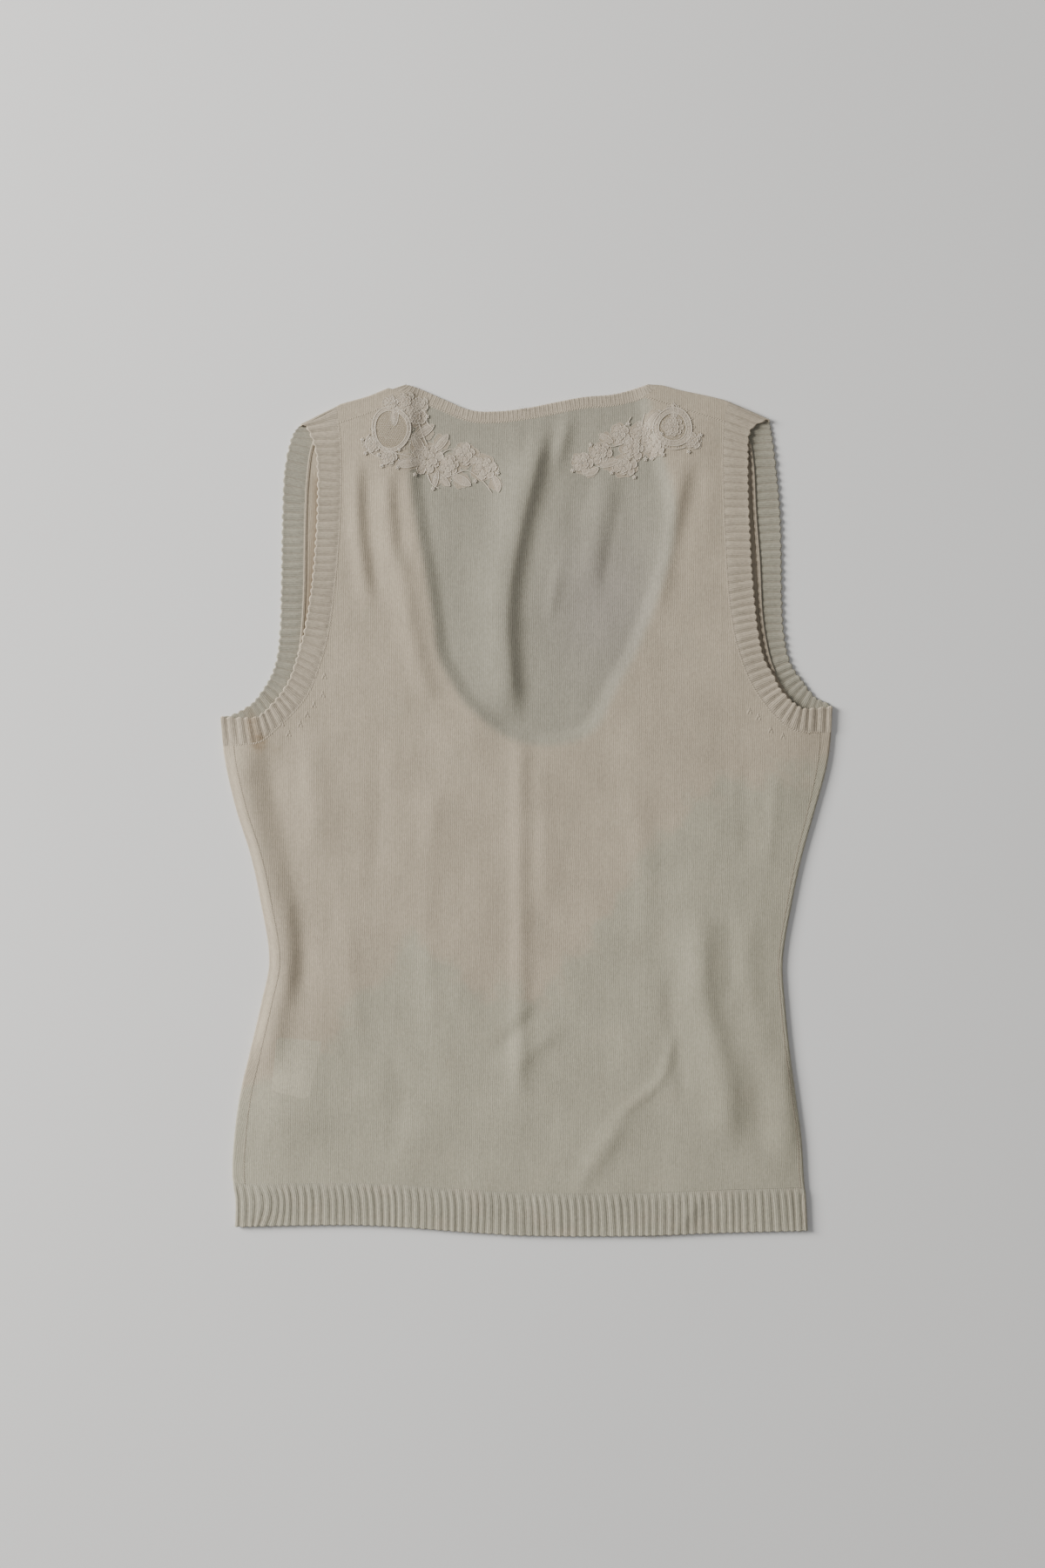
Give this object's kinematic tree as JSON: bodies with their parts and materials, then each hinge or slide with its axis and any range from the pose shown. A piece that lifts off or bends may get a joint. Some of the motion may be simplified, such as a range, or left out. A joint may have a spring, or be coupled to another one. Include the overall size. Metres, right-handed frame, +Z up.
{
  "type": "sleeveless knitted top",
  "caption": "Sleeveless fine-knit top laid flat, back up, with a deep front scoop neck, ribbed hem and armhole bands, and floral lace at the back shoulders.",
  "frame": {"origin": "middle of the garment's outline, on the surface it lies on", "axes": "+X to the right and +Y from the hem to the neck as seen from above, +Z up from the surface; the back of the garment faces up"},
  "size_m": [0.408, 0.5677, 0.0064],
  "materials": {
    "knit": "fine plain knit, matt",
    "rib": "rib knit, matt",
    "lace": "corded lace, slight lustre",
    "label": "woven tape, smooth"
  },
  "bodies": {
    "root": {"back_panel": "knit", "front_panel": "knit", "hem_rib_back": "rib", "hem_rib_front": "rib", "armband_left": "rib", "armband_right": "rib", "neckband": "rib", "lace_left": "lace", "lace_right": "lace", "care_label": "label"}
  },
  "joints": []
}
